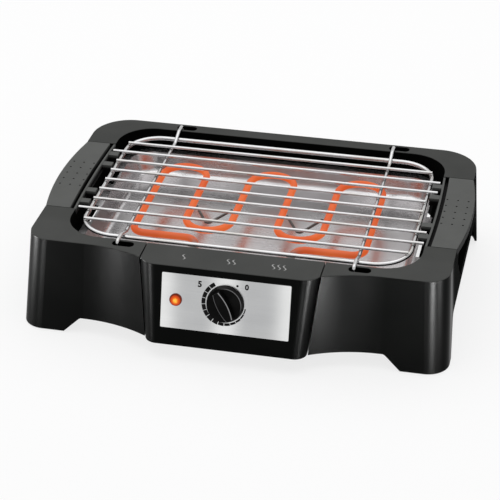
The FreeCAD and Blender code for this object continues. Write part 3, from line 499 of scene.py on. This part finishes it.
def dial_marks():
    """Dashes round the knob that get thinner from the full end to the off end, and a dot."""
    edges = np.linspace(DASH_START, DASH_END, DASH_COUNT + 1)
    patches = []
    for k in range(DASH_COUNT):
        along = max(0.0, k / (DASH_COUNT - 1.0) - DASH_EVEN) / (1.0 - DASH_EVEN)
        outer = DASH_IN + DASH_THICK - DASH_TAPER * along
        patches.append(ring_dash(edges[k] + DASH_GAP, edges[k + 1] - DASH_GAP, DASH_IN, outer))
    a, r = np.meshgrid(np.linspace(0.0, 2.0 * np.pi, 24, endpoint=False), np.linspace(0.02, DOT_R, 3),
                       indexing="ij")
    dot = np.stack([r * np.cos(a) - DOT_REACH * math.sin(DOT_TURN),
                    r * np.sin(a) + DOT_REACH * math.cos(DOT_TURN),
                    np.full(a.shape, PLATE_FACE + INK_LIFT)], axis=-1)
    patches.append((on_panel(dot).reshape(-1, 3), grid_faces(24, 3, wrap_rows=True)[:, ::-1]))
    points, faces = joined(patches)
    return piece("dial_marks", points, faces, panel_ink_finish, "control_unit", smooth=False)


def dial_number(name, text, x, y, tall):
    """A plain number, its outline filled flat, printed on the plate."""
    curve = bpy.data.curves.new(name, "FONT")
    curve.body = text
    curve.size = tall
    curve.offset = NUMBER_BOLD
    curve.align_x = "CENTER"
    curve.align_y = "CENTER"
    holder = bpy.data.objects.new(name + "_outline", curve)
    bpy.context.scene.collection.objects.link(holder)
    bpy.context.view_layer.update()
    flat = bpy.data.meshes.new_from_object(holder)
    points = np.zeros(len(flat.vertices) * 3)
    flat.vertices.foreach_get("co", points)
    points = on_panel(points.reshape(-1, 3) + np.array([x, y, PLATE_FACE + INK_LIFT]))
    faces = [list(p.vertices) for p in flat.polygons]
    bpy.data.objects.remove(holder)
    return piece(name, points, faces, panel_ink_finish, "control_unit", smooth=False)


def wave_stroke(x, y, tall, wide):
    """Upright wave of a flat stroke: x swings as a sine of the way along, the ends taper."""
    t, w = np.meshgrid(np.linspace(0.0, 1.0, 28), np.linspace(-0.5, 0.5, 3), indexing="ij")
    swing = 0.16 * tall * np.sin(2.0 * np.pi * t)
    width = wide * np.sqrt(np.clip(1.0 - np.abs(2.0 * t - 1.0) ** 4, 0.04, 1.0))
    flat = np.stack([x + swing + w * width, y + (t - 0.5) * tall, np.full(t.shape, RIM_Z + INK_LIFT)],
                    axis=-1)
    return flat.reshape(-1, 3), grid_faces(28, 3)[:, ::-1]


def heat_marks():
    """One, two and three heat waves in a row on top of the control box."""
    patches = []
    for count, middle in ((1, -WAVE_APART), (2, 0.0), (3, WAVE_APART)):
        for k in range(count):
            x = middle + WAVE_STEP * (k - (count - 1) / 2.0)
            patches.append(wave_stroke(x, WAVE_Y, WAVE_TALL, WAVE_STROKE))
    points, faces = joined(patches)
    return piece("heat_marks", points, faces, rim_print(), "control_unit", smooth=False)


def weld_bead(x, y, z, half_x, half_y, half_z):
    """Flattened ball: angles round and down, each half length its own."""
    u, v = np.meshgrid(np.linspace(0.0, 2.0 * np.pi, 10, endpoint=False),
                       np.linspace(0.02, np.pi - 0.02, 7), indexing="ij")
    ball = np.stack([x + half_x * np.cos(u) * np.sin(v), y + half_y * np.sin(u) * np.sin(v),
                     z + half_z * np.cos(v)], axis=-1)
    return ball.reshape(-1, 3), grid_faces(10, 7, wrap_rows=True)[:, ::-1]


def grid_welds():
    """A small bead where each bar meets the frame's rails and the cross wires."""
    patches = []
    for k in range(BAR_COUNT):
        y = BAR_FIRST + BAR_PITCH * k
        rail = RAIL_END_X.get(k, RAIL_X)
        for x in (-rail, rail):
            patches.append(weld_bead(x, y, RAIL_WELD_Z, 1.9, 2.2, 0.9))
        for x in (-CROSS_X, CROSS_X):
            patches.append(weld_bead(x, y, CROSS_WELD_Z, 1.7, 1.9, 0.8))
    points, faces = joined(patches)
    return piece("grid_welds", points, faces, finishes["grid_wire"], "grill_grid")


panel_ink_finish = panel_ink()
dial_marks()
dial_number("dial_zero", "0", 22.5, 20.5, 8.0)
dial_number("dial_full", "5", -28.5, 18.5, 9.0)
heat_marks()
grid_welds()


# Stage, camera and light

def pale_floor():
    """Floor: pale, keeps the shadow, and is lifted towards white where the camera or a shine sees it."""
    material = bpy.data.materials.new("pale_floor")
    material.use_nodes = True
    tree = material.node_tree
    tree.nodes.clear()
    start = Val(tree)
    cloth = start.node("BsdfDiffuse", None, {"Color": (0.90, 0.90, 0.905, 1.0)})
    white = start.node("Emission", None, {"Color": (1.0, 1.0, 1.0, 1.0), "Strength": 1.0})
    mixed = start.node("MixShader", None, {0: start.seen() * 0.78, 1: cloth, 2: white})
    end = tree.nodes.new("ShaderNodeOutputMaterial")
    tree.links.new(mixed.socket, end.inputs["Surface"])
    return material


floor_mesh = bpy.data.meshes.new("floor")
floor_mesh.from_pydata([(-6, -6, 0), (6, -6, 0), (6, 6, 0), (-6, 6, 0)], [], [(0, 1, 2, 3)])
floor_mesh.materials.append(pale_floor())
floor = bpy.data.objects.new("floor", floor_mesh)
bpy.context.scene.collection.objects.link(floor)


def softbox(name, place, target, wide, tall, power, spread=math.pi):
    """Rectangular lamp at place, facing target, its beam that wide."""
    lamp = bpy.data.lights.new(name, "AREA")
    lamp.shape = "RECTANGLE"
    lamp.size = wide
    lamp.size_y = tall
    lamp.energy = power
    lamp.spread = spread
    made = bpy.data.objects.new(name, lamp)
    bpy.context.scene.collection.objects.link(made)
    made.location = place
    away = np.array(place) - np.array(target)
    flat = math.hypot(away[0], away[1])
    made.rotation_euler = (math.atan2(flat, away[2]), 0.0, math.atan2(away[0], -away[1]))
    return made


# The narrow strips shine on the two black mouldings only.
black_pieces = bpy.data.collections.new("black_pieces")
for name in ("base_shell", "control_housing"):
    black_pieces.objects.link(nodes[name])
softbox("overhead", (-0.2, 0.4, 2.0), (0.0, 0.0, 0.1), 3.6, 3.0, 37.0)
for name, turn, wide, power, aim_x, aim_y in (
        ("strip_far_left", -72.0, 0.22, 1.7, -0.21, -0.12),
        ("strip_left", -40.0, 0.10, 0.34, -0.14, -0.16),
        ("strip_right", 16.0, 0.10, 0.09, 0.14, -0.16),
        ("strip_far_right", 40.0, 0.16, 1.4, 0.20, -0.14),
        ("strip_side", 64.0, 0.18, 0.55, 0.21, -0.13)):
    way = math.radians(turn)
    place = (STRIP_AWAY * math.sin(way), -STRIP_AWAY * math.cos(way), STRIP_Z)
    strip = softbox(name, place, (aim_x, aim_y, STRIP_Z), wide, STRIP_TALL, power, STRIP_SPREAD)
    strip.visible_diffuse = False
    strip.visible_camera = False
    strip.light_linking.receiver_collection = black_pieces

world = bpy.data.worlds.new("studio")
bpy.context.scene.world = world
world.use_nodes = True
world.node_tree.nodes.clear()
sky = Val(world.node_tree)
light = sky.node("Background", None, {"Color": (1.0, 1.0, 1.0, 1.0), "Strength": sky.seen() * 0.45 + 0.55})
sky_end = world.node_tree.nodes.new("ShaderNodeOutputWorld")
world.node_tree.links.new(light.socket, sky_end.inputs["Surface"])

camera_data = bpy.data.cameras.new("camera")
camera_data.lens = 133.2
camera_data.sensor_width = 36.0
camera_data.clip_end = 20.0
camera = bpy.data.objects.new("camera", camera_data)
bpy.context.scene.collection.objects.link(camera)
camera.location = (0.3825, -1.8151 + RING_Y * MM, 1.1077)
camera.rotation_euler = (math.radians(90.0 - 30.18), 0.0, math.radians(12.34))
bpy.context.scene.camera = camera
bpy.context.scene.view_settings.view_transform = "Standard"
